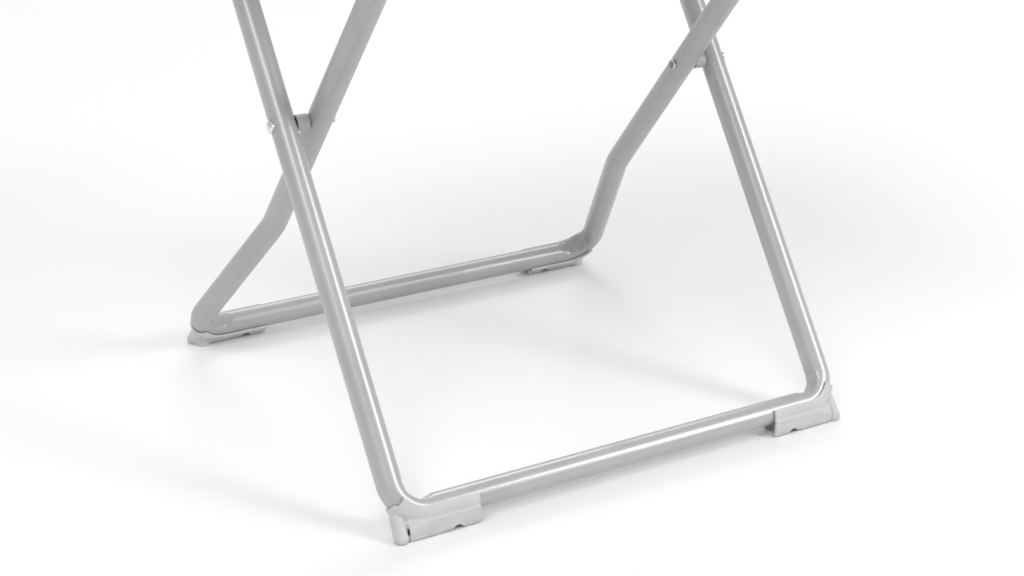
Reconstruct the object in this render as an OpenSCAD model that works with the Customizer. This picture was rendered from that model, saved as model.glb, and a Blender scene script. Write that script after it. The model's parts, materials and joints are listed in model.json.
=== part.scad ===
// Folding table: two U-shaped tube frames crossed as an X, four corner shoes and a hollow top.
// The origin is on the floor under the middle of the open table. +X runs along the floor bars,
// -Y is the front, where the height bar hooks under the top, and +Z is up.

/* [Leg tube] */
// Outside diameter of the leg tube
tube_d = 25; // [24:0.5:26]
// Wall thickness of the leg tube
tube_wall = 1.2; // [1:0.1:2]
// Centre-line radius of the corner bends
corner_r = 30; // [28:1:34]
// Centre-line radius of the splay bends of the inner frame
splay_r = 90; // [60:5:110]
// How far the leg tubes run past the top joints
leg_end = 12; // [10:0.5:12]

/* [Stance] */
// Distance between the two floor bars
foot_spread = 462; // [450:1:470]
// Height of the top joints above the floor bars
frame_rise = 608; // [600:1:616]
// Height of the floor bar axis above the floor
bar_h = 21; // [20:0.5:22]
// Half width of the outer frame, to the leg axis
outer_half = 252; // [250:1:254]
// Half width of the inner frame above its splay, to the leg axis
inner_half = 214; // [212:1:215]
// Half width of the inner frame at the floor, to the corner of its axes
foot_half = 263; // [258:1:266]
// Height of the splay bend above the floor bar axis
splay_h = 158; // [150:1:165]

/* [Shoes] */
// Wall thickness of a shoe
shoe_wall = 3; // [2.5:0.1:3.5]
// Where a shoe starts along the floor bar
shoe_inner = 174; // [170:1:180]
// Where the round end of a shoe stands on the floor
shoe_outer = 255; // [254:0.5:256]
// How far the sole wall stands outwards from the bar axis
sole_out = 17.4; // [16.5:0.1:17.6]
// How far the sole wall stands inwards from the bar axis
sole_in = 4.5; // [3:0.5:5]
// How far a shoe climbs above the floor bar
heel_rise = 16; // [14:1:18]
// How far out from the bar axis the round end of a shoe stands
heel_out = 11.5; // [11:0.1:12]
// Inward lean of the round end of a shoe
heel_lean = 6; // [5:0.5:7]

/* [Top] */
// Length of the top
top_len = 760; // [740:5:800]
// Depth of the top
top_depth = 500; // [496:2:520]
// Thickness of the rim
top_thick = 35; // [33:1:40]
// Gap from the top joints up to the underside of the rim
rim_gap = 19; // [19:0.5:21]
// Depth of the recess under the top
recess_h = 8; // [7:0.5:9]
// Radius of the corners of the top
top_corner = 45; // [35:1:60]
// Wall of the moulded top
skin = 2.5; // [2:0.1:3]

/* [Joints] */
// Diameter of the pivot and hinge rivets
rivet_d = 8; // [7:0.5:8]
// Radial running clearance on a rivet
run_gap = 0.05; // [0.03:0.01:0.08]
// Outside diameter of the pivot spacers
spacer_d = 16; // [14:0.5:17]
// Diameter of the height bar
height_bar_d = 16; // [15:0.5:16]
// Thickness of the steel rails
rail_t = 2; // [1.5:0.1:2.2]

/* [Hidden] */
$fn = 48;

tube_r = tube_d / 2;
rivet_r = rivet_d / 2;
bar_r = height_bar_d / 2;
lean = atan2(foot_spread, frame_rise);
half_leg = norm([foot_spread, frame_rise]) / 2;
pivot_z = bar_h + frame_rise / 2;
joint_z = bar_h + frame_rise;
joint_y = foot_spread / 2;
splay_s = splay_h / cos(lean) - half_leg;
rim_z = joint_z + rim_gap;
under_z = rim_z + recess_h;
deck_z = rim_z + top_thick;
gap = 0.3;
cut = 1;
bend_swell = 0.06;
bend_lap = 1;

// Corner points of the two frames in their own plane: x across, s up the leg from the pivot.
outer_top_s = half_leg + leg_end;
outer_path = [[-outer_half, outer_top_s], [-outer_half, -half_leg],
    [outer_half, -half_leg], [outer_half, outer_top_s]];
outer_bends = [corner_r, corner_r];
inner_path = [[-inner_half, outer_top_s], [-inner_half, splay_s], [-foot_half, -half_leg],
    [foot_half, -half_leg], [inner_half, splay_s], [inner_half, outer_top_s]];
inner_bends = [splay_r, corner_r, corner_r, splay_r];
splay_turn = atan2(foot_half - inner_half, splay_s + half_leg);

// Rails and notches, measured from the hinge towards the front.
rail_x = inner_half + tube_r + (outer_half - inner_half - tube_d) / 2;
web_drop = 17;
notch_reach = [385, 424];
notch_r = bar_r + gap;
rim_w = 14;
rail_back = top_depth / 2 - rim_w - 2;
flange_w = 20;
screw_x = rail_x + rail_t / 2 + 11;
screw_ys = [-200, -70, 70, 200];
screw_r = 2;
pilot_r = 1.8;
boss_r = 6;
screw_reach = 12;

// Spring latch that hooks round the front of the height bar.
latch_x = 178;
latch_w = 16;
latch_t = 1.5;
latch_foot_back = -96;
latch_foot_front = -132;
latch_screw_ys = [-104, -122];
latch_low_z = joint_z - bar_r - gap - latch_t;
latch_front_y = -joint_y - bar_r - 0.8;

// Unit vector from a to b.
function heading(a, b) = (b - a) / norm(b - a);
// Signed turn between two headings, positive to the left.
function turn_of(u, v) = atan2(u[0] * v[1] - u[1] * v[0], u * v);
// Length that a bend takes off each side of its corner.
function setback(path, i, radii) = (i == 0 || i == len(path) - 1) ? 0 :
    radii[i - 1] * tan(abs(turn_of(heading(path[i - 1], path[i]), heading(path[i], path[i + 1]))) / 2);

// A round bar along a bent path in the XZ plane; stretch lengthens its two ends.
// The bends are a hair thicker and the straights run a little way into them.
module bent_round(path, radii, r, stretch = 0) {
    last = len(path) - 1;
    for (i = [0 : last - 1]) {
        u = heading(path[i], path[i + 1]);
        start = path[i] + u * (i == 0 ? -stretch : setback(path, i, radii) - bend_lap);
        stop = path[i + 1]
            - u * (i == last - 1 ? -stretch : setback(path, i + 1, radii) - bend_lap);
        translate([start[0], 0, start[1]])
            rotate([0, atan2(u[0], u[1]), 0])
                cylinder(r = r, h = norm(stop - start));
    }
    for (i = [1 : last - 1]) {
        u = heading(path[i - 1], path[i]);
        v = heading(path[i], path[i + 1]);
        turn = turn_of(u, v);
        side = turn > 0 ? 1 : -1;
        centre = path[i] - u * setback(path, i, radii) + side * radii[i - 1] * [-u[1], u[0]];
        from = turn > 0 ? -[-u[1], u[0]] : [-v[1], v[0]];
        translate([centre[0], 0, centre[1]])
            rotate([90, 0, 0])
                rotate([0, 0, atan2(from[1], from[0])])
                    rotate_extrude(angle = abs(turn))
                        translate([radii[i - 1], 0]) circle(r = r + bend_swell);
    }
}

// Places a shape drawn in a frame's own plane: way is -1 for the outer frame, 1 for the inner.
module in_frame(way) {
    translate([0, 0, pivot_z]) rotate([way * lean, 0, 0]) children();
}

module across(x, r, length) {
    translate([x, 0, 0]) rotate([0, 90, 0]) cylinder(r = r, h = length, center = true);
}

module outer_frame() {
    color("silver") in_frame(-1) difference() {
        bent_round(outer_path, outer_bends, tube_r);
        bent_round(outer_path, outer_bends, tube_r - tube_wall, cut);
        for (x = [-outer_half, outer_half], s = [0, half_leg])
            translate([0, 0, s]) across(x, rivet_r, tube_d + 2);
    }
}

module inner_frame() {
    color("silver") in_frame(1) difference() {
        bent_round(inner_path, inner_bends, tube_r);
        bent_round(inner_path, inner_bends, tube_r - tube_wall, cut);
        for (x = [-inner_half, inner_half]) {
            across(x, rivet_r + run_gap, tube_d + 2);
            translate([0, 0, half_leg]) across(x, bar_r, tube_d + 2);
        }
    }
}

// Plastic plug closing an open tube end: a short shank inside and a flange on the end.
module plug(x, way) {
    flange_t = 1.5;
    color("lightgray") in_frame(way) translate([x, 0, outer_top_s]) {
        cylinder(r = tube_r, h = flange_t);
        translate([0, 0, -3]) cylinder(r = tube_r - tube_wall, h = 3);
    }
}
module outer_left_plug() { plug(-outer_half, -1); }
module outer_right_plug() { plug(outer_half, -1); }
module inner_left_plug() { plug(-inner_half, 1); }
module inner_right_plug() { plug(inner_half, 1); }

// The area inside the frame's centre line, which a shoe leaves open.
module inside_bend(bend_x, turn) {
    depth = 60;
    rotate([90, 0, 0]) linear_extrude(height = depth, center = true) {
        translate([0, -half_leg]) square([bend_x, 90]);
        translate([bend_x, corner_r - half_leg]) circle(r = corner_r);
        translate([bend_x, corner_r - half_leg]) rotate([0, 0, turn - 90])
            translate([-corner_r, 0]) square([2 * corner_r, 70]);
    }
}

// Cross-section of the hollow sole under the bar: outwards to the right, the bar axis at 0.
module sole_section(inset, top) {
    back = inset - sole_in;
    front = sole_out - inset;
    low = inset - bar_h;
    back_r = 8 - inset;
    front_r = 3.6 - inset;
    translate([back + back_r, low]) square([front - front_r - back - back_r, top - low]);
    translate([back, low + back_r]) square([front - back, top - low - back_r]);
    translate([back + back_r, low + front_r]) square([front - back - back_r, top - low - front_r]);
    translate([back + back_r, low + back_r]) circle(r = back_r);
    translate([front - front_r, low + front_r]) circle(r = front_r);
}
module sole_block(from, to, inset, top) {
    translate([from, joint_y, bar_h]) rotate([90, 0, 90])
        linear_extrude(height = to - from) sole_section(inset, top);
}

// Outer wall of the sole near its round end: it leans back with the leg, from the crease down.
module sole_shoulder(inset) {
    translate([226, joint_y + sole_out, bar_h - 2]) rotate([0, 53.8, 74.3])
        translate([-60, -60, -inset]) cube([120, 120, 60]);
}

// Round end of a shoe, which leans back and inwards with the leg.
module heel(inset, top) {
    r = 7.2 - inset;
    foot_z = 4;
    translate([shoe_outer, joint_y + heel_out, foot_z]) {
        sphere(r = r);
        difference() {
            rotate([lean, -heel_lean, 0]) cylinder(r = r - 0.15, h = 70);
            translate([-40, -60, top - foot_z]) cube([80, 100, 60]);
        }
    }
}

// Corner shoe at the rear right; turn is the angle of the tube's corner bend and toe_r rounds
// the lower corner of its open end.
module shoe(corner_x, turn, toe_r) {
    shell_r = tube_r + shoe_wall;
    bend_x = corner_x - corner_r * tan(turn / 2);
    leg_point = [corner_x, -half_leg] + [cos(turn), sin(turn)] * 120;
    collar_turn = 60;
    ledge = -2;
    back_r = 8;
    sole_end = shoe_outer - 7;
    crease_r = 34.5;
    heel_top = bar_h + heel_rise;
    ribs = [[shoe_inner - cut, 182], [184.5, 210], [212.5, 230], [232.5, sole_end]];
    color("gainsboro") difference() {
        union() {
            translate([shoe_inner, joint_y, bar_h]) rotate([0, 90, 0])
                cylinder(r = shell_r, h = bend_x + bend_lap - shoe_inner);
            in_frame(1) translate([bend_x, 0, corner_r - half_leg]) rotate([90, 0, 0])
                rotate([0, 0, -90]) rotate_extrude(angle = collar_turn)
                    translate([corner_r, 0]) circle(r = shell_r + bend_swell);
            difference() {
                sole_block(shoe_inner, sole_end, 0, ledge);
                sole_shoulder(0);
            }
            translate([sole_end, joint_y - sole_in + back_r, 0])
                cylinder(r = back_r, h = bar_h + ledge);
            difference() {
                union() {
                    heel(0, heel_top);
                    difference() {
                        sole_block(bend_x - 2, sole_end, 0, heel_rise);
                        sole_shoulder(0);
                    }
                }
                translate([bend_x, joint_y, bar_h + crease_r + ledge]) rotate([90, 0, 0])
                    cylinder(r = crease_r, h = 80, center = true);
            }
        }
        in_frame(1) bent_round([[0, -half_leg], [corner_x, -half_leg], leg_point],
            [corner_r], tube_r);
        in_frame(1) inside_bend(bend_x, turn);
        difference() {
            for (span = ribs) sole_block(span[0], span[1], shoe_wall, ledge - 1);
            sole_shoulder(shoe_wall);
        }
        difference() {
            heel(shoe_wall - 0.2, bar_h);
            translate([0, joint_y - 50, -2 * cut]) cube([sole_end - 1, 100, 80]);
        }
        translate([shoe_outer, joint_y, heel_top + 2])
            rotate([90, 0, 0]) cylinder(r = 6, h = 60, center = true, $fn = 4);
        translate([198, joint_y + sole_out / 2, -0.8]) rotate([90, 0, 0])
            cylinder(r = 6, h = 50, center = true);
        translate([206, joint_y + sole_out / 2, -12]) rotate([90, 0, 0])
            cylinder(r = 14, h = 50, center = true);
        difference() {
            translate([shoe_inner - cut, joint_y - 40, -cut]) cube([toe_r + cut, 80, toe_r + cut]);
            translate([shoe_inner + toe_r, joint_y, toe_r]) rotate([90, 0, 0])
                cylinder(r = toe_r, h = 90, center = true);
        }
        translate([shoe_inner - 20, joint_y - 60, -60]) cube([130, 160, 60]);
    }
}
module rear_right_shoe() { shoe(foot_half, 90 + splay_turn, 7); }
module rear_left_shoe() { mirror([1, 0, 0]) shoe(foot_half, 90 + splay_turn, 2); }
module front_right_shoe() { mirror([0, 1, 0]) shoe(outer_half, 90, 2); }
module front_left_shoe() { mirror([1, 0, 0]) mirror([0, 1, 0]) shoe(outer_half, 90, 7); }

// Right-hand rivet along X: domed head outside, rolled hollow end inside at inner_x.
module rivet(inner_x) {
    head_r = 6.5;
    head_t = 3.2;
    dome_r = 8.5;
    roll_r = 1.25;
    outer_x = outer_half + tube_r;
    difference() {
        translate([outer_x, 0, 0]) rotate([0, 90, 0]) rotate_extrude() intersection() {
            translate([0, head_t - dome_r]) circle(r = dome_r);
            translate([0, -1.8]) square([head_r, head_t + 4]);
        }
        translate([outer_half, 0, 0]) cylinder(r = tube_r, h = 20, center = true);
    }
    difference() {
        union() {
            translate([inner_x, 0, 0]) rotate([0, 90, 0])
                cylinder(r = rivet_r, h = outer_x + 1 - inner_x);
            translate([inner_x, 0, 0]) rotate([0, 90, 0])
                rotate_extrude() translate([rivet_r, 0]) circle(r = roll_r, $fn = 24);
        }
        translate([inner_x - 3, 0, 0]) rotate([0, 90, 0]) cylinder(r = rivet_r - 1.1, h = 14);
    }
}
module pivot_rivet_shape() {
    in_frame(-1) rivet(inner_half - tube_r - gap - 1.25);
}
module right_pivot_rivet() { color("gainsboro") pivot_rivet_shape(); }
module left_pivot_rivet() { color("gainsboro") mirror([1, 0, 0]) pivot_rivet_shape(); }

module hinge_rivet_shape() {
    in_frame(-1) translate([0, 0, half_leg]) rivet(rail_x - rail_t / 2 - gap - 1.25);
}
module right_hinge_rivet() { color("gainsboro") hinge_rivet_shape(); }
module left_hinge_rivet() { color("gainsboro") mirror([1, 0, 0]) hinge_rivet_shape(); }

// Tubular spacer on a rivet, from near_x to the inner face of the outer leg.
module spacer(near_x, s, r, bore_r) {
    far_x = outer_half - tube_r;
    in_frame(-1) translate([near_x, 0, s]) rotate([0, 90, 0]) difference() {
        cylinder(r = r, h = far_x - near_x);
        translate([0, 0, -cut]) cylinder(r = bore_r, h = far_x - near_x + 2 * cut);
    }
}
module pivot_spacer_shape() { spacer(inner_half + tube_r + gap, 0, spacer_d / 2, spacer_d / 2 - 2); }
module right_pivot_spacer() { color("whitesmoke") pivot_spacer_shape(); }
module left_pivot_spacer() { color("whitesmoke") mirror([1, 0, 0]) pivot_spacer_shape(); }

module hinge_spacer_shape() { spacer(rail_x + rail_t / 2 + gap, half_leg, 7, rivet_r); }
module right_hinge_spacer() { color("whitesmoke") hinge_spacer_shape(); }
module left_hinge_spacer() { color("whitesmoke") mirror([1, 0, 0]) hinge_spacer_shape(); }

// Cross bar at the upper end of the inner frame, on which the rails rest.
bar_end_x = rail_x + rail_t / 2 + 1.4;
module height_bar() {
    color("silver") in_frame(1) translate([0, 0, half_leg]) difference() {
        across(0, bar_r, 2 * bar_end_x);
        across(0, bar_r - 1.5, 2 * bar_end_x + 2);
    }
}
module bar_cap_shape() {
    in_frame(1) translate([bar_end_x, 0, half_leg]) rotate([0, 90, 0]) {
        cylinder(r = bar_r + 1, h = 1.8);
        translate([0, 0, -8]) cylinder(r = bar_r - 1.5, h = 8);
    }
}
module right_bar_cap() { color("dimgray") bar_cap_shape(); }
module left_bar_cap() { color("dimgray") mirror([1, 0, 0]) bar_cap_shape(); }

// Side view of a rail's web: y to the back, z up.
module web_outline() {
    seat_z = joint_z + notch_r;
    stop_y = notch_r - joint_y;
    difference() {
        union() {
            translate([-rail_back, seat_z]) square([2 * rail_back, under_z - seat_z]);
            translate([-joint_y - 15, seat_z]) square([60, rim_z - 0.5 - seat_z]);
            translate([stop_y, joint_z - web_drop])
                square([joint_y - stop_y, under_z - joint_z + web_drop]);
            translate([joint_y, joint_z]) circle(r = web_drop);
        }
        for (reach = notch_reach) translate([joint_y - reach, joint_z]) {
            circle(r = notch_r);
            translate([-notch_r, -web_drop - cut]) square([2 * notch_r, web_drop + cut]);
        }
    }
}

// Folded steel rail under the right side of the top.
module rail_shape() {
    difference() {
        union() {
            translate([rail_x - rail_t / 2, 0, 0]) rotate([90, 0, 90])
                linear_extrude(height = rail_t) web_outline();
            translate([rail_x - rail_t / 2, -rail_back, under_z - rail_t])
                cube([flange_w + rail_t, 2 * rail_back, rail_t]);
        }
        translate([rail_x, joint_y, joint_z]) rotate([0, 90, 0])
            cylinder(r = rivet_r + run_gap, h = 10, center = true);
        for (y = screw_ys) translate([screw_x, y, under_z - 5]) cylinder(r = screw_r, h = 10);
    }
}
module right_rail() { color("darkgray") rail_shape(); }
module left_rail() { color("darkgray") mirror([1, 0, 0]) rail_shape(); }

module pan_screw(head_z) {
    translate([0, 0, head_z - 2.2]) cylinder(r = 4.2, h = 2.2);
    translate([0, 0, head_z]) cylinder(r = screw_r, h = screw_reach - 2);
}
module rail_screws() {
    color("gainsboro") for (x = [-screw_x, screw_x], y = screw_ys)
        translate([x, y, 0]) pan_screw(under_z - rail_t);
}
module latch_screws() {
    color("gainsboro") for (x = [-latch_x, latch_x], y = latch_screw_ys)
        translate([x, y, 0]) pan_screw(under_z - latch_t);
}

// Left normal of a heading.
function left_of(u) = [-u[1], u[0]];
// Offset from fold line i to the left face of a strip, mitred between its two legs.
function mitre(folds, i) =
    let (before = heading(folds[max(i - 1, 0)], folds[max(i, 1)]),
        last = len(folds) - 1,
        after = heading(folds[min(i, last - 1)], folds[min(i + 1, last)]),
        sum = left_of(before) + left_of(after))
    sum * 2 / (sum * sum);

// Side view of the spring latch strip, along the middle of its thickness.
module latch_outline() {
    foot_z = under_z - latch_t / 2;
    low_z = latch_low_z + latch_t / 2;
    hook_y = latch_front_y - latch_t / 2;
    folds = [[latch_foot_back, foot_z], [latch_foot_front, foot_z], [-joint_y + 24, low_z],
        [hook_y, low_z], [hook_y, joint_z + 3], [hook_y - 5, joint_z + 6]];
    last = len(folds) - 1;
    polygon(concat([for (i = [0 : last]) folds[i] + mitre(folds, i) * latch_t / 2],
        [for (i = [last : -1 : 0]) folds[i] - mitre(folds, i) * latch_t / 2]));
}
module latch_shape() {
    difference() {
        translate([latch_x - latch_w / 2, 0, 0]) rotate([90, 0, 90])
            linear_extrude(height = latch_w) latch_outline();
        for (y = latch_screw_ys) translate([latch_x, y, under_z - 5]) cylinder(r = screw_r, h = 10);
    }
}
module right_bar_latch() { color("lightsteelblue") latch_shape(); }
module left_bar_latch() { color("lightsteelblue") mirror([1, 0, 0]) latch_shape(); }

// Rounded rectangle inset from the edge of the top.
module top_outline(inset) {
    r = top_corner - inset;
    x = top_len / 2 - inset;
    y = top_depth / 2 - inset;
    square([2 * (x - r), 2 * y], center = true);
    square([2 * x, 2 * (y - r)], center = true);
    for (a = [-1, 1], b = [-1, 1]) translate([a * (x - r), b * (y - r)]) circle(r = r, $fn = 96);
}

// Hollow moulded top: rim, recessed underside, and posts that tie the two skins together.
module tabletop() {
    lowest = under_z + skin;
    highest = deck_z - skin;
    posts_x = [-300, -180, -60, 60, 180, 300];
    posts_y = [-150, -50, 50, 150];
    boss_h = screw_reach + 2;
    color("whitesmoke") difference() {
        translate([0, 0, rim_z]) linear_extrude(height = top_thick) top_outline(0);
        translate([0, 0, rim_z - cut]) linear_extrude(height = recess_h + cut) top_outline(rim_w);
        difference() {
            translate([0, 0, lowest]) linear_extrude(height = highest - lowest)
                top_outline(skin + 1);
            for (x = posts_x, y = posts_y) translate([x, y, under_z]) cylinder(r = 7, h = 40);
            for (x = [-screw_x, screw_x], y = screw_ys)
                translate([x, y, under_z]) cylinder(r = boss_r, h = boss_h);
            for (x = [-latch_x, latch_x], y = latch_screw_ys)
                translate([x, y, under_z]) cylinder(r = boss_r, h = boss_h);
        }
        for (x = [-screw_x, screw_x], y = screw_ys)
            translate([x, y, under_z - cut]) cylinder(r = pilot_r, h = screw_reach + cut);
        for (x = [-latch_x, latch_x], y = latch_screw_ys)
            translate([x, y, under_z - cut]) cylinder(r = pilot_r, h = screw_reach + cut);
    }
}

tabletop();
left_rail();
right_rail();
rail_screws();
left_bar_latch();
right_bar_latch();
latch_screws();
outer_frame();
front_left_shoe();
front_right_shoe();
left_hinge_rivet();
right_hinge_rivet();
left_hinge_spacer();
right_hinge_spacer();
outer_left_plug();
outer_right_plug();
left_pivot_rivet();
right_pivot_rivet();
left_pivot_spacer();
right_pivot_spacer();
inner_frame();
rear_left_shoe();
rear_right_shoe();
height_bar();
left_bar_cap();
right_bar_cap();
inner_left_plug();
inner_right_plug();
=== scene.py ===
import json
import math
import bmesh
import bpy
from mathutils import Matrix, Vector


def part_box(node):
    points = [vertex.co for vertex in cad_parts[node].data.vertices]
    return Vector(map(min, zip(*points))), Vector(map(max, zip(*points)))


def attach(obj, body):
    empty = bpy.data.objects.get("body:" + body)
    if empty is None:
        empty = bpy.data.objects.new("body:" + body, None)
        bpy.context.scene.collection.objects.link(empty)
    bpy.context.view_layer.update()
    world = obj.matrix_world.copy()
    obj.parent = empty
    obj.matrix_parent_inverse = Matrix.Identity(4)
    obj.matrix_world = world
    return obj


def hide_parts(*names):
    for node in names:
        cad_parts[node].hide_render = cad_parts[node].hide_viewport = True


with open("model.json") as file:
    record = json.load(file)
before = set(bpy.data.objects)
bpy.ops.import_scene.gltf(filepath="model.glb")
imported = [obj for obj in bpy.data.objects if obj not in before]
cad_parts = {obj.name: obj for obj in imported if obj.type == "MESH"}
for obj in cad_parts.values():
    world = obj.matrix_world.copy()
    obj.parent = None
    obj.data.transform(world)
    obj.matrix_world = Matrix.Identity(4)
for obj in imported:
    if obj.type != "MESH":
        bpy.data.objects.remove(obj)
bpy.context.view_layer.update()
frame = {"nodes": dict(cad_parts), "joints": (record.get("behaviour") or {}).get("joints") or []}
scene = bpy.context.scene
print("frame loaded")

# Places that several pieces share, worked out from the two fold joints.
joints = {joint["name"]: joint for joint in frame["joints"]}
hinge = Vector(joints["leg_fold"]["pos_m"])
pivot = Vector(joints["inner_leg_fold"]["pos_m"])
lean = math.atan2(hinge.y, hinge.z - pivot.z)
halfLeg = math.hypot(hinge.y, hinge.z - pivot.z)
outerPlane = Matrix.Translation(pivot) @ Matrix.Rotation(-lean, 4, "X")
innerPlane = Matrix.Translation(pivot) @ Matrix.Rotation(lean, 4, "X")
toRight = Matrix.Rotation(math.radians(90), 4, "Y")  # turns +Z to +X
toLeft = Matrix.Rotation(math.radians(-90), 4, "Y")

tube = {
    "radius": 0.0125,
    "wall": 0.0012,
    "sides": 64,
    "cornerRadius": 0.030,
    "splayRadius": 0.090,
    "outerHalf": 0.252,
    "innerHalf": 0.214,
    "footHalf": 0.263,
    "splayHeight": 0.158,
    "endPastJoint": 0.012,
    "fineRun": 0.048,  # length beside a corner that gets close rings
    "ringStep": 0.0024,
}


def pick(piece):
    bpy.ops.object.select_all(action="DESELECT")
    bpy.context.view_layer.objects.active = piece
    piece.select_set(True)


def choose(piece, mode, test):
    # in edit mode, selects the VERT, EDGE or FACE parts that pass the test
    parts = {"VERT": "verts", "EDGE": "edges", "FACE": "faces"}[mode]
    bpy.ops.mesh.select_mode(type=mode)
    bpy.ops.mesh.select_all(action="DESELECT")
    mesh = bmesh.from_edit_mesh(piece.data)
    for part in getattr(mesh, parts):
        if test(part):
            part.select_set(True)
    mesh.select_flush_mode()
    bmesh.update_edit_mesh(piece.data)


def settle(piece, place=None):
    # puts the piece at its place and bakes that place into the mesh
    pick(piece)
    if place is not None:
        piece.matrix_world = place
    bpy.ops.object.transform_apply(location=True, rotation=True, scale=True)


def modify(piece, kind, **settings):
    pick(piece)
    modifier = piece.modifiers.new(kind.lower(), kind)
    for key, value in settings.items():
        setattr(modifier, key, value)
    bpy.ops.object.modifier_apply(modifier=modifier.name)


def faceOut(piece):
    pick(piece)
    bpy.ops.object.mode_set(mode="EDIT")
    bpy.ops.mesh.select_all(action="SELECT")
    bpy.ops.mesh.remove_doubles(threshold=0.00002)
    bpy.ops.mesh.normals_make_consistent(inside=False)
    bpy.ops.object.mode_set(mode="OBJECT")


def smooth(piece, degrees=35):
    pick(piece)
    bpy.ops.object.shade_smooth_by_angle(angle=math.radians(degrees))


def newest(name):
    piece = bpy.context.object
    piece.name = name
    piece.data.name = name
    return piece


def copyOf(piece, name, place):
    twin = bpy.data.objects.new(name, piece.data.copy())
    scene.collection.objects.link(twin)
    settle(twin, place)
    return twin


def fromCad(name, node):
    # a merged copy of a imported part, as the start of a shown piece
    piece = bpy.data.objects.new(name, frame["nodes"][node].data.copy())
    scene.collection.objects.link(piece)
    faceOut(piece)
    return piece


def turned(name, rings, sides=48):
    # lathe work round Z: rings are (radius, height), closed by a flat face at both ends
    bpy.ops.object.select_all(action="DESELECT")
    bpy.ops.mesh.primitive_circle_add(
        vertices=sides, radius=rings[0][0], fill_type="NGON", location=(0, 0, rings[0][1]))
    piece = newest(name)
    settle(piece)
    bpy.ops.object.mode_set(mode="EDIT")
    bpy.ops.mesh.select_all(action="SELECT")
    for (oldRadius, oldHeight), (radius, height) in zip(rings, rings[1:]):
        bpy.ops.mesh.extrude_region_move(
            TRANSFORM_OT_translate={"value": (0, 0, height - oldHeight)})
        grow = radius / oldRadius
        bpy.ops.transform.resize(value=(grow, grow, 1), center_override=(0, 0, height))
    bpy.ops.mesh.select_all(action="SELECT")
    bpy.ops.mesh.normals_make_consistent(inside=False)
    bpy.ops.object.mode_set(mode="OBJECT")
    return piece


def arc(centre, radius, start, stop, steps):
    # (radius, height) points of a lathe profile along a round stretch, angles from the axis plane
    turns = [math.radians(start + (stop - start) * i / steps) for i in range(steps + 1)]
    return [(centre[0] + radius * math.cos(t), centre[1] + radius * math.sin(t)) for t in turns]


class Number:
    # a value on its way through a shader; the operators add Math nodes
    def __init__(self, finish, socket):
        self.finish = finish
        self.socket = socket

    def sum(self, operation, first, second):
        return self.finish.node("Math", {"operation": operation}, {0: first, 1: second})

    def __add__(self, other):
        return self.sum("ADD", self, other)

    def __radd__(self, other):
        return self.sum("ADD", other, self)

    def __sub__(self, other):
        return self.sum("SUBTRACT", self, other)

    def __rsub__(self, other):
        return self.sum("SUBTRACT", other, self)

    def __mul__(self, other):
        return self.sum("MULTIPLY", self, other)

    def __rmul__(self, other):
        return self.sum("MULTIPLY", other, self)


class Finish:
    # one material and the nodes that make it
    def __init__(self, name, **constants):
        self.material = bpy.data.materials.new(name)
        self.material.use_nodes = True
        self.tree = self.material.node_tree
        self.shader = self.tree.nodes["Principled BSDF"]
        self.place = self.node("TexCoord", {}, {}, "Object")
        for socket, value in constants.items():
            self.shader.inputs[socket.replace("_", " ")].default_value = value

    def node(self, kind, settings, sockets, output=0):
        made = self.tree.nodes.new("ShaderNode" + kind)
        for key, value in settings.items():
            setattr(made, key, value)
        for key, value in sockets.items():
            if isinstance(value, Number):
                self.tree.links.new(value.socket, made.inputs[key])
            else:
                made.inputs[key].default_value = value
        return Number(self, made.outputs[output])

    def set(self, **links):
        for socket, value in links.items():
            self.tree.links.new(value.socket, self.shader.inputs[socket.replace("_", " ")])

    def noise(self, size, detail=2.0, roughness=0.5, place=None):
        # blotches of about that size in metres, from 0 to 1
        return self.node("TexNoise", {}, {
            "Vector": place or self.place, "Scale": 1 / size,
            "Detail": detail, "Roughness": roughness})

    def stretched(self, scale):
        return self.node("Mapping", {"vector_type": "POINT"}, {"Vector": self.place, "Scale": scale})

    def band(self, value, low, high):
        # 0 below low, 1 above high
        return self.node("MapRange", {"clamp": True, "interpolation_type": "SMOOTHSTEP"}, {
            "Value": value, "From Min": low, "From Max": high, "To Min": 0.0, "To Max": 1.0})

    def mix(self, amount, first, second):
        # blends two colours
        return self.node("Mix", {"data_type": "RGBA"}, {0: amount, 6: first, 7: second}, 2)

    def height(self):
        # metres above the floor
        return self.node("SeparateXYZ", {}, {0: self.place}, 2)

    def bump(self, height, depth, strength=1.0):
        return self.node("Bump", {}, {"Height": height, "Distance": depth, "Strength": strength})


def grey(level, warmth=0.0):
    # a near-neutral colour; warmth leans it to red and away from blue
    return (level * (1 + warmth), level, level * (1 - warmth), 1)


def paintOf(name, level, warmth, roughness):
    # stoved enamel on steel: soft mottle, faint flake, orange peel, and scuffs near the floor
    paint = Finish(name, Metallic=0.25, Coat_Roughness=0.12, IOR=1.5)
    mottle = paint.noise(0.055, 3.0)
    flake = paint.noise(0.0007, 1.0)
    scuffs = paint.band(paint.noise(0.004, 6.0, 0.75, paint.stretched((1.0, 1.0, 0.25))), 0.66, 0.74)
    low = 1 - paint.band(paint.height(), 0.03, 0.22)
    worn = scuffs * low
    shade = paint.mix(paint.band(mottle, 0.3, 0.7),
        grey(level * 0.955, warmth), grey(level * 1.03, warmth * 0.4))
    shade = paint.mix(paint.band(flake, 0.56, 0.74) * 0.30, shade, grey(min(1, level * 1.28)))
    shade = paint.mix(worn * 0.35, shade, grey(level * 0.72, 0.02))
    rough = roughness + mottle * 0.08 + worn * 0.2
    peel = paint.noise(0.0032, 2.0)
    grain = paint.noise(0.0009, 1.0)
    normal = paint.bump(peel * 0.8 + grain * 0.2 - worn * 0.3, 0.00010, 0.35)
    coat = 0.45 - worn * 0.3
    paint.set(Base_Color=shade, Roughness=rough, Coat_Weight=coat, Normal=normal)
    return paint.material


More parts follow.
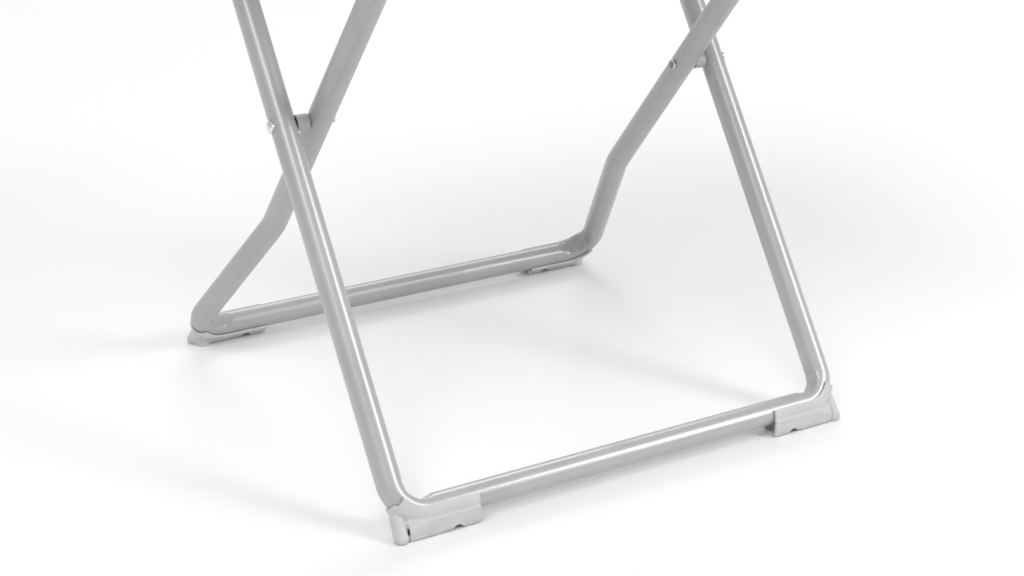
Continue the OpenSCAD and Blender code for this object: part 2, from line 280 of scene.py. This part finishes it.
def mouldedOf(name, level, warmth, roughness, pebble=0.0011, depth=0.00007):
    # injection-moulded plastic: flow mottle, fine pebble, dust low down
    plastic = Finish(name, IOR=1.46)
    flow = plastic.noise(0.022, 3.0)
    cells = plastic.node("TexVoronoi", {"feature": "SMOOTH_F1"}, {
        "Vector": plastic.place, "Scale": 1 / pebble, "Smoothness": 0.7})
    low = 1 - plastic.band(plastic.height(), 0.0, 0.012)
    dust = low * plastic.band(plastic.noise(0.005, 5.0), 0.42, 0.62)
    shade = plastic.mix(plastic.band(flow, 0.3, 0.7),
        grey(level * 0.96, warmth), grey(level * 1.03, warmth * 0.5))
    shade = plastic.mix(dust * 0.4, shade, grey(level * 0.62, 0.04))
    rough = roughness + flow * 0.12 + dust * 0.15
    normal = plastic.bump(cells * 0.7 + plastic.noise(0.003) * 0.5, depth, 0.5)
    plastic.set(Base_Color=shade, Roughness=rough, Normal=normal)
    return plastic.material


def zincOf(name, level, roughness):
    # bright zinc plate: cloudy passivation and fine scratches
    zinc = Finish(name, Metallic=1.0)
    cloud = zinc.noise(0.003, 4.0)
    scratch = zinc.noise(0.0012, 3.0, 0.6, zinc.stretched((0.2, 1.0, 1.0)))
    shade = zinc.mix(zinc.band(cloud, 0.35, 0.65),
        (level * 0.86, level * 0.95, level, 1), (level * 0.99, level, level * 0.99, 1))
    rough = roughness + cloud * 0.12 + zinc.band(scratch, 0.6, 0.7) * 0.1
    zinc.set(Base_Color=shade, Roughness=rough, Normal=zinc.bump(scratch, 0.00003, 0.4))
    return zinc.material


def springSteelOf(name):
    # rolled strip, brushed along its length and blued by heat in places
    steel = Finish(name, Metallic=1.0)
    brushed = steel.noise(0.0006, 3.0, 0.6, steel.stretched((1.0, 0.05, 0.05)))
    bluing = steel.band(steel.noise(0.02, 3.0), 0.45, 0.7)
    shade = steel.mix(bluing * 0.5, (0.47, 0.49, 0.52, 1), (0.27, 0.32, 0.42, 1))
    shade = steel.mix(brushed * 0.3, shade, (0.62, 0.63, 0.65, 1))
    steel.set(Base_Color=shade, Roughness=0.26 + brushed * 0.2, Normal=steel.bump(brushed, 0.00003, 0.5))
    return steel.material


finishes = {
    "outerPaint": paintOf("outer_leg_paint", 0.44, 0.0, 0.30),
    "innerPaint": paintOf("inner_leg_paint", 0.405, 0.012, 0.40),
    "railPaint": paintOf("rail_paint", 0.30, 0.0, 0.38),
    "shoe": mouldedOf("shoe_plastic", 0.55, 0.004, 0.42),
    "spacer": mouldedOf("spacer_plastic", 0.40, 0.004, 0.36, 0.0014, 0.00004),
    "plug": mouldedOf("plug_plastic", 0.46, 0.0, 0.42),
    "cap": mouldedOf("cap_plastic", 0.06, 0.0, 0.45),
    "top": mouldedOf("top_plastic", 0.72, 0.006, 0.46, 0.0026, 0.00022),
    "zinc": zincOf("zinc", 0.80, 0.13),
    "spring": springSteelOf("spring_steel"),
}


def place(piece, body, slot, finish, *nodes):
    # last step of every piece: its finish, the body that carries it and the parts it stands for
    piece.data.materials.clear()
    piece.data.materials.append(finishes[finish])
    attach(piece, body)
    if nodes:
        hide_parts(*nodes)


print("finishes made")


def bentTube(name, corners, radii):
    # corners are (x, s) in the frame's own plane, with one bend radius for each inner corner
    def heading(a, b):
        return (Vector(b) - Vector(a)).normalized()

    def turnAt(i):
        before = heading(corners[i - 1], corners[i])
        after = heading(corners[i], corners[i + 1])
        return math.atan2(before.x * after.y - before.y * after.x, before.dot(after))

    def setback(i):
        if i in (0, len(corners) - 1):
            return 0
        return radii[i - 1] * math.tan(abs(turnAt(i)) / 2)

    bpy.ops.object.select_all(action="DESELECT")
    start = corners[0]
    bpy.ops.mesh.primitive_circle_add(
        vertices=tube["sides"], radius=tube["radius"], location=(start[0], 0, start[1]))
    piece = newest(name)
    settle(piece)
    bpy.ops.object.mode_set(mode="EDIT")
    bpy.ops.mesh.select_mode(type="VERT")
    bpy.ops.mesh.select_all(action="SELECT")
    for i in range(len(corners) - 1):
        run = (Vector(corners[i + 1]) - Vector(corners[i])).length - setback(i) - setback(i + 1)
        along = heading(corners[i], corners[i + 1])
        fine = min(tube["fineRun"], run / 2.2)
        fineRings = max(1, round(fine / tube["ringStep"]))
        steps = [fine / fineRings] * fineRings
        for step in steps + [run - 2 * fine] + steps:
            bpy.ops.mesh.extrude_region_move(
                TRANSFORM_OT_translate={"value": (along.x * step, 0, along.y * step)})
        if i + 2 < len(corners):
            turn = turnAt(i + 1)
            side = Vector((-along.y, along.x)) * math.copysign(radii[i], turn)
            middle = Vector(corners[i + 1]) - along * setback(i + 1) + side
            outerArc = abs(turn) * (radii[i] + tube["radius"])
            bpy.ops.mesh.spin(steps=max(6, round(outerArc / tube["ringStep"])),
                angle=turn, center=(middle.x, 0, middle.y), axis=(0, 1, 0))
    bpy.ops.object.mode_set(mode="OBJECT")
    faceOut(piece)
    return piece


dent = {
    # presses along the inside of a corner: share of its turn, depth and reach
    "presses": (
        (0.10, 0.0016, 0.0085),
        (0.34, 0.0024, 0.0098),
        (0.60, 0.0026, 0.0098),
        (0.86, 0.0018, 0.0085),
    ),
    "spot": 0.0021,  # vertices this near the middle of a press move by its whole depth
}


def crushCorner(piece, centre, turn):
    # the bending tool presses the inside of the corner into a trough, one stroke after another
    inside = tube["cornerRadius"] - tube["radius"]
    side = 1 if centre[0] > 0 else -1
    pick(piece)
    bpy.ops.object.mode_set(mode="EDIT")
    for share, depth, reach in dent["presses"]:
        angle = math.radians(turn * share)
        push = Vector((side * math.sin(angle), 0, -math.cos(angle)))
        spot = Vector((centre[0], 0, centre[1])) + push * inside
        choose(piece, "VERT", lambda vert: (vert.co - spot).length < dent["spot"])
        bpy.ops.transform.translate(value=push * depth, use_proportional_edit=True,
            proportional_edit_falloff="SPHERE", proportional_size=reach)
    bpy.ops.object.mode_set(mode="OBJECT")


def wallUp(piece):
    modify(piece, "SOLIDIFY", thickness=tube["wall"], offset=-1.0)


topS = halfLeg + tube["endPastJoint"]
splayS = tube["splayHeight"] / math.cos(lean) - halfLeg
outerCorners = [(-tube["outerHalf"], topS), (-tube["outerHalf"], -halfLeg),
    (tube["outerHalf"], -halfLeg), (tube["outerHalf"], topS)]
innerCorners = [(-tube["innerHalf"], topS), (-tube["innerHalf"], splayS),
    (-tube["footHalf"], -halfLeg), (tube["footHalf"], -halfLeg),
    (tube["innerHalf"], splayS), (tube["innerHalf"], topS)]
splayTurn = math.degrees(math.atan2(tube["footHalf"] - tube["innerHalf"], splayS + halfLeg))

outerTube = bentTube("outer_tube", outerCorners, [tube["cornerRadius"]] * 2)
outerBend = tube["outerHalf"] - tube["cornerRadius"]
innerTube = bentTube("inner_tube", innerCorners,
    [tube["splayRadius"], tube["cornerRadius"], tube["cornerRadius"], tube["splayRadius"]])
innerBend = tube["footHalf"] - tube["cornerRadius"] * math.tan(math.radians(90 + splayTurn) / 2)
for side in (-1, 1):
    crushCorner(outerTube, (side * outerBend, tube["cornerRadius"] - halfLeg), 90)
    crushCorner(innerTube, (side * innerBend, tube["cornerRadius"] - halfLeg), 90 + splayTurn)
for piece, plane in ((outerTube, outerPlane), (innerTube, innerPlane)):
    wallUp(piece)
    settle(piece, plane)
    smooth(piece, 40)
place(outerTube, "outer_legs", "leg_paint", "outerPaint", "outer_frame")
place(innerTube, "inner_legs", "leg_paint", "innerPaint", "inner_frame")
print("leg tubes bent")


shoe = {
    "seam": 0.00035,  # gap between the lip and the tube
    "voxel": 0.00062,
    "softening": 5,
    "keep": 0.30,
}


def mouldShoe(name, node, body, corner, turn, plane):
    # a merged copy with its tube bore opened to a seam and every edge rounded as a mould leaves it
    piece = fromCad(name, node)
    bendX = corner - tube["cornerRadius"] * math.tan(math.radians(turn) / 2)
    toPlane = plane.inverted()
    leg = Vector((math.cos(math.radians(turn)), math.sin(math.radians(turn))))

    def fromTube(point):
        local = toPlane @ point
        x = abs(local.x) - bendX
        up = local.z + halfLeg - tube["cornerRadius"]
        if x < 0:
            return math.hypot(up + tube["cornerRadius"], local.y)
        if math.degrees(math.atan2(x, -up)) < turn:
            return math.hypot(math.hypot(x, up) - tube["cornerRadius"], local.y)
        return math.hypot(x * leg.y - up * leg.x - tube["cornerRadius"], local.y)

    bpy.ops.object.mode_set(mode="EDIT")
    choose(piece, "FACE", lambda face: all(
        abs(fromTube(vert.co) - tube["radius"]) < 0.00012 for vert in face.verts))
    bpy.ops.transform.shrink_fatten(value=-shoe["seam"])
    bpy.ops.object.mode_set(mode="OBJECT")
    modify(piece, "REMESH", mode="VOXEL", voxel_size=shoe["voxel"], adaptivity=0)
    modify(piece, "SMOOTH", factor=0.5, iterations=shoe["softening"])
    modify(piece, "DECIMATE", ratio=shoe["keep"])
    faceOut(piece)
    pick(piece)
    bpy.ops.object.shade_smooth()
    place(piece, body, "shoe_plastic", "shoe", node)


for sideName in ("left", "right"):
    mouldShoe("front_" + sideName + "_foot", "front_" + sideName + "_shoe", "outer_legs",
        tube["outerHalf"], 90, outerPlane)
    mouldShoe("rear_" + sideName + "_foot", "rear_" + sideName + "_shoe", "inner_legs",
        tube["footHalf"], 90 + splayTurn, innerPlane)
print("shoes moulded")


joint = {
    "head": 0.0065,
    "headHeight": 0.0032,
    "dome": 0.0085,
    "shank": 0.004,
    "roll": 0.00125,
    "bore": 0.0029,
    "boreDepth": 0.011,
    "starPush": 1.24,  # how far the six split points of the rolled end spread
    "pivotReach": 0.19995,
    "hingeReach": 0.23045,
    "skirt": 0.0018,  # how far the rim of the head reaches back over the round of the tube
    "pivotSleeve": (0.2268, 0.008, 0.006),  # start, radius and bore
    "hingeSleeve": (0.2343, 0.007, 0.004),
    "sleeveSoft": 0.0005,
}
outerFace = tube["outerHalf"] + tube["radius"]
legInside = tube["outerHalf"] - tube["radius"]


def rivetShape(name, reach):
    # along Z: rolled hollow end at reach, domed head outside the outer leg
    roll = arc((joint["shank"], reach), joint["roll"], 180, -60, 12)
    dome = arc((0, outerFace + joint["headHeight"] - joint["dome"]), joint["dome"], 52, 89, 9)
    rings = [(0.0004, reach + joint["boreDepth"]), (joint["bore"], reach + joint["boreDepth"])]
    rings += [(joint["bore"], reach + 0.001)] + roll[1:]
    rings += [(joint["shank"], reach + 0.002), (joint["shank"], outerFace - joint["skirt"])]
    rings += [(joint["head"] - 0.0003, outerFace - joint["skirt"])]
    rings += [(joint["head"], outerFace - joint["skirt"] + 0.0004)]
    rings += [(joint["head"], dome[0][1] - 0.0002)] + dome
    piece = turned(name, rings, 60)

    def onPoint(vert):
        spread = math.degrees(math.atan2(vert.co.y, vert.co.x)) % 60
        distance = math.hypot(vert.co.x, vert.co.y)
        nearPoint = min(spread, 60 - spread) < 7
        return nearPoint and distance < joint["shank"] and vert.co.z < reach + 0.003

    bpy.ops.object.mode_set(mode="EDIT")
    choose(piece, "VERT", onPoint)
    spreadOut = (joint["starPush"], joint["starPush"], 1)
    bpy.ops.transform.resize(value=spreadOut, center_override=(0, 0, reach))
    bpy.ops.object.mode_set(mode="OBJECT")
    smooth(piece, 40)
    return piece


def tubeShape(name, start, stop, radius, bore, soft):
    # a cut length of tube along Z with rounded rims
    rings = [(bore, stop - soft), (bore, start + soft)]
    rings += arc((bore + soft, start + soft), soft, 180, 270, 3)[1:]
    rings += arc((radius - soft, start + soft), soft, 270, 360, 3)
    rings += arc((radius - soft, stop - soft), soft, 0, 90, 3)
    rings += arc((bore + soft, stop - soft), soft, 90, 165, 3)
    piece = turned(name, rings, 56)
    bpy.ops.object.mode_set(mode="EDIT")
    choose(piece, "FACE", lambda face: len(face.verts) > 4)  # the flat faces that close the lathe work
    bpy.ops.mesh.delete(type="FACE")
    choose(piece, "EDGE", lambda edge: edge.is_boundary)
    bpy.ops.mesh.bridge_edge_loops()
    bpy.ops.object.mode_set(mode="OBJECT")
    faceOut(piece)
    smooth(piece, 40)
    return piece


pivotRivet = rivetShape("pivot_rivet_pattern", joint["pivotReach"])
hingeRivet = rivetShape("hinge_rivet_pattern", joint["hingeReach"])
start, radius, bore = joint["pivotSleeve"]
pivotSpacer = tubeShape("pivot_spacer_pattern", start, legInside, radius, bore, joint["sleeveSoft"])
start, radius, bore = joint["hingeSleeve"]
hingeSpacer = tubeShape("hinge_spacer_pattern", start, legInside, radius, bore, joint["sleeveSoft"])
toHinge = outerPlane @ Matrix.Translation((0, 0, halfLeg))
for side, turn in (("left", toLeft), ("right", toRight)):
    for level, middle, rivet, spacer in (("pivot", outerPlane, pivotRivet, pivotSpacer),
            ("hinge", toHinge, hingeRivet, hingeSpacer)):
        node = side + "_" + level
        spot = middle @ turn
        place(copyOf(rivet, node + "_stud", spot), "outer_legs", "zinc", "zinc", node + "_rivet")
        place(copyOf(spacer, node + "_sleeve", spot), "outer_legs", "spacer_nylon", "spacer",
            node + "_spacer")
for pattern in (pivotRivet, hingeRivet, pivotSpacer, hingeSpacer):
    bpy.data.objects.remove(pattern)
print("rivets and spacers turned")

ends = {
    "plugFlange": 0.0015,
    "plugShank": 0.003,
    "plugSoft": 0.0007,
    "barRadius": 0.008,
    "barWall": 0.0015,
    "barEnd": 0.2354,
    "capRadius": 0.009,
    "capFlange": 0.0018,
    "capShank": 0.008,
    "barSoft": 0.0004,
    "capSoft": 0.0008,
}


def plugShape(name, radius, flange, shank, shankDepth, soft):
    # along Z: shank below 0, softly rounded flange above
    rings = [(shank - 0.0004, -shankDepth), (shank, -shankDepth + 0.0004), (shank, 0)]
    rings += [(radius - 0.0002, 0), (radius, 0.0002)]
    rings += arc((radius - soft, flange - soft), soft, 0, 80, 4)
    rings += [(radius * 0.62, flange), (radius * 0.58, flange - 0.0003)]
    rings += [(radius * 0.2, flange - 0.0004)]
    piece = turned(name, rings, 56)
    smooth(piece, 40)
    return piece


plug = plugShape("plug_pattern", tube["radius"], ends["plugFlange"],
    tube["radius"] - tube["wall"], ends["plugShank"], ends["plugSoft"])
for side, way in (("left", -1), ("right", 1)):
    for frameName, plane, half in (("outer", outerPlane, tube["outerHalf"]),
            ("inner", innerPlane, tube["innerHalf"])):
        spot = plane @ Matrix.Translation((way * half, 0, topS))
        place(copyOf(plug, frameName + "_" + side + "_stopper", spot), frameName + "_legs",
            "plug_plastic", "plug", frameName + "_" + side + "_plug")
bpy.data.objects.remove(plug)

barSpot = innerPlane @ Matrix.Translation((0, 0, halfLeg))
bar = tubeShape("cross_bar", -ends["barEnd"], ends["barEnd"], ends["barRadius"],
    ends["barRadius"] - ends["barWall"], ends["barSoft"])
settle(bar, barSpot @ toRight)
place(bar, "inner_legs", "leg_paint", "innerPaint", "height_bar")
cap = plugShape("cap_pattern", ends["capRadius"], ends["capFlange"],
    ends["barRadius"] - ends["barWall"], ends["capShank"], ends["capSoft"])
for side, turn in (("left", toLeft), ("right", toRight)):
    spot = barSpot @ turn @ Matrix.Translation((0, 0, ends["barEnd"]))
    place(copyOf(cap, side + "_bar_end", spot), "inner_legs", "cap_plastic", "cap", side + "_bar_cap")
bpy.data.objects.remove(cap)
print("plugs, cross bar and caps made")

sheetMetal = {
    "railEdge": 0.00045,
    "latchEdge": 0.00022,
    "flat": 1.0,  # degrees between triangles of one flat face
}


def pressSheet(name, node, edge, slotName, finish):
    # a merged copy in whole faces, with the small radius that a press leaves on every edge
    piece = fromCad(name, node)
    bpy.ops.object.mode_set(mode="EDIT")
    bpy.ops.mesh.select_all(action="SELECT")
    bpy.ops.mesh.dissolve_limited(angle_limit=math.radians(sheetMetal["flat"]))
    bpy.ops.object.mode_set(mode="OBJECT")
    modify(piece, "BEVEL", width=edge, segments=3, limit_method="ANGLE",
        angle_limit=math.radians(40), use_clamp_overlap=True)
    smooth(piece, 40)
    place(piece, "tabletop", slotName, finish, node)


for side in ("left", "right"):
    pressSheet(side + "_folded_rail", side + "_rail", sheetMetal["railEdge"],
        "rail_paint", "railPaint")
    pressSheet(side + "_spring_hook", side + "_bar_latch", sheetMetal["latchEdge"],
        "spring_steel", "spring")
print("rails and latches pressed")

screw = {
    "head": 0.0042,
    "headHeight": 0.0022,
    "shank": 0.002,
    "pitch": 0.0014,
    "depth": 0.010,
    "cross": 0.0046,
    "crossWidth": 0.0009,
    "crossDepth": 0.0013,
    "crossTaper": 0.45,  # size of the cutter at its deep end, as a share of its full size
    "railSeat": 0.002,  # thickness of the metal under each head
    "latchSeat": 0.0015,
    "railX": 0.245,
    "railY": (-0.200, -0.070, 0.070, 0.200),
    "latchX": 0.178,
    "latchY": (-0.104, -0.122),
}
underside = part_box("left_rail")[1][2]  # where the rails lie against the top


def panScrew():
    # head down along Z, its seat at 0, with a threaded shank above and a cross recess below
    rings = arc((0, screw["headHeight"] * 0.35), screw["headHeight"] * 1.35, -85, -62, 2)
    rings += arc((screw["head"] - 0.0011, -screw["headHeight"] + 0.0011), 0.0011, -70, 0, 5)
    rings += [(screw["head"], -0.0002), (screw["head"] - 0.0002, 0), (screw["shank"], 0)]
    for turn in range(int(screw["depth"] / screw["pitch"])):
        base = turn * screw["pitch"] + 0.0002
        rings += [(screw["shank"] - 0.0004, base + 0.0004), (screw["shank"], base + 0.0008)]
    rings += [(0.0006, screw["depth"])]
    piece = turned("screw_pattern", rings, 40)
    for angle in (0, 90):
        bpy.ops.object.select_all(action="DESELECT")
        bpy.ops.mesh.primitive_cube_add(size=1, location=(0, 0, -screw["headHeight"]))
        slotCutter = newest("slot_cutter")
        slotCutter.scale = (screw["cross"], screw["crossWidth"], 2 * screw["crossDepth"])
        slotCutter.rotation_euler.z = math.radians(angle)
        settle(slotCutter)
        bpy.ops.object.mode_set(mode="EDIT")
        choose(slotCutter, "FACE", lambda face: face.normal.z > 0.9)
        bpy.ops.transform.resize(value=(screw["crossTaper"], screw["crossTaper"], 1))
        bpy.ops.object.mode_set(mode="OBJECT")
        modify(piece, "BOOLEAN", object=slotCutter, operation="DIFFERENCE", solver="EXACT")
        bpy.data.objects.remove(slotCutter)
    smooth(piece, 35)
    return piece


screwPattern = panScrew()
for way, side in ((-1, "left"), (1, "right")):
    for i, y in enumerate(screw["railY"]):
        spot = Matrix.Translation((way * screw["railX"], y, underside - screw["railSeat"]))
        place(copyOf(screwPattern, side + "_rail_screw_" + str(i + 1), spot), "tabletop",
            "zinc", "zinc", "rail_screws")
    for i, y in enumerate(screw["latchY"]):
        spot = Matrix.Translation((way * screw["latchX"], y, underside - screw["latchSeat"]))
        place(copyOf(screwPattern, side + "_latch_screw_" + str(i + 1), spot), "tabletop",
            "zinc", "zinc", "latch_screws")
bpy.data.objects.remove(screwPattern)
print("screws made")

top = {
    "corner": 0.045,
    "topEdge": 0.0065,
    "rimEdge": 0.0028,
    "rim": 0.014,
    "recess": 0.008,
    "recessEdge": 0.003,
    "dimple": 0.0085,
    "dimpleDepth": 0.006,
    "dimpleX": (-0.300, -0.180, -0.060, 0.060, 0.180, 0.300),
    "dimpleY": (-0.150, -0.050, 0.050, 0.150),
}
topLow, topHigh = (Vector(corner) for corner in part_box("tabletop"))
topSize = topHigh - topLow


def onFlat(height, normal):
    def test(face):
        return abs(face.calc_center_median().z - height) < 0.0005 and face.normal.z * normal > 0.9
    return test


def onRim(edge):
    # the sharp edges at the very bottom of the rim
    lowest = all(abs(vert.co.z - topLow.z) < 0.0001 for vert in edge.verts)
    return lowest and any(abs(face.normal.z) < 0.5 for face in edge.link_faces)


bpy.ops.object.select_all(action="DESELECT")
bpy.ops.mesh.primitive_cube_add(size=1, location=(topLow + topHigh) / 2)
board = newest("moulded_top")
board.scale = topSize
settle(board)
bpy.ops.object.mode_set(mode="EDIT")
choose(board, "EDGE", lambda edge: abs(edge.verts[0].co.z - edge.verts[1].co.z) > 0.01)
bpy.ops.mesh.bevel(offset=top["corner"], segments=14, profile=0.5)
choose(board, "FACE", onFlat(topHigh.z, 1))
bpy.ops.mesh.region_to_loop()
bpy.ops.mesh.bevel(offset=top["topEdge"], segments=6, profile=0.5)
choose(board, "FACE", onFlat(topLow.z, -1))
bpy.ops.mesh.inset(thickness=top["rim"], depth=0)
bpy.ops.mesh.extrude_region_move(TRANSFORM_OT_translate={"value": (0, 0, top["recess"])})
bpy.ops.mesh.region_to_loop()
bpy.ops.mesh.bevel(offset=top["recessEdge"], segments=4, profile=0.5)
choose(board, "EDGE", onRim)
bpy.ops.mesh.bevel(offset=top["rimEdge"], segments=4, profile=0.5)
bpy.ops.object.mode_set(mode="OBJECT")

dimpleRings = [(top["dimple"] + 0.0012, -0.002), (top["dimple"], 0.0002)]
dimpleRings += [(top["dimple"] - 0.0008, 0.0012)]
dimpleRings += [(top["dimple"] * 0.72, top["dimpleDepth"] * 0.8)]
dimpleRings += [(top["dimple"] * 0.5, top["dimpleDepth"])]
dimplePattern = turned("dimple_pattern", dimpleRings, 32)
cutters = []
for x in top["dimpleX"]:
    for y in top["dimpleY"]:
        cutters.append(copyOf(dimplePattern, "dimple_cutter",
            Matrix.Translation((x, y, topLow.z + top["recess"]))))
bpy.data.objects.remove(dimplePattern)
pick(cutters[0])
for cutter in cutters:
    cutter.select_set(True)
bpy.ops.object.join()
cutters = bpy.context.object
modify(board, "BOOLEAN", object=cutters, operation="DIFFERENCE", solver="EXACT")
bpy.data.objects.remove(cutters)
smooth(board, 35)
place(board, "tabletop", "top_plastic", "top", "tabletop")
print("top moulded")


def softLight(name, position, width, height, power):
    data = bpy.data.lights.new(name, "AREA")
    data.shape = "RECTANGLE"
    data.size = width
    data.size_y = height
    data.energy = power
    light = bpy.data.objects.new(name, data)
    scene.collection.objects.link(light)
    light.location = position
    towards = studio["lit"] - Vector(position)
    light.rotation_euler = towards.to_track_quat("-Z", "Y").to_euler()


studio = {
    "floorHalf": 9.0,
    "floorGrey": 0.86,
    "skyGrey": 0.62,
    "lit": Vector((0, 0, 0.3)),  # the point that the lights face
    "lights": (
        # name, place, width, height and watts
        ("key_light", (-2.9, -2.0, 5.4), 3.0, 3.0, 135),
        ("strip_light", (3.2, -3.4, 3.2), 1.3, 2.6, 105),
        ("back_light", (2.2, 4.4, 4.4), 4.0, 2.0, 100),
    ),
    "camera": Vector((-0.94805, -1.51918, 0.88181)),
    "forward": Vector((0.48884891, 0.77682609, -0.39694833)),
    "up": Vector((0.18592342, 0.35179416, 0.91742757)),
    "lens": 65.083,
}

bpy.ops.object.select_all(action="DESELECT")
bpy.ops.mesh.primitive_plane_add(size=2 * studio["floorHalf"], location=(0, 0, 0))
floor = newest("studio_floor")
floorFinish = Finish("studio_floor", Roughness=0.9)
floorFinish.set(Base_Color=floorFinish.mix(
    floorFinish.noise(0.6), grey(studio["floorGrey"]), grey(studio["floorGrey"] * 1.01)))
floor.data.materials.append(floorFinish.material)

world = bpy.data.worlds.new("studio")
scene.world = world
world.use_nodes = True
sky = world.node_tree.nodes["Background"]
sky.inputs["Color"].default_value = grey(studio["skyGrey"])
sky.inputs["Strength"].default_value = 1.0

for lamp in studio["lights"]:
    softLight(*lamp)

cameraData = bpy.data.cameras.new("camera")
cameraData.lens = studio["lens"]
cameraData.sensor_width = 36
cameraData.clip_start = 0.05
camera = bpy.data.objects.new("camera", cameraData)
scene.collection.objects.link(camera)
right = studio["forward"].cross(studio["up"]).normalized()
camera.matrix_world = Matrix((
    (right.x, studio["up"].x, -studio["forward"].x, studio["camera"].x),
    (right.y, studio["up"].y, -studio["forward"].y, studio["camera"].y),
    (right.z, studio["up"].z, -studio["forward"].z, studio["camera"].z),
    (0, 0, 0, 1)))
scene.camera = camera
scene.view_settings.view_transform = "Standard"
scene.view_settings.look = "None"
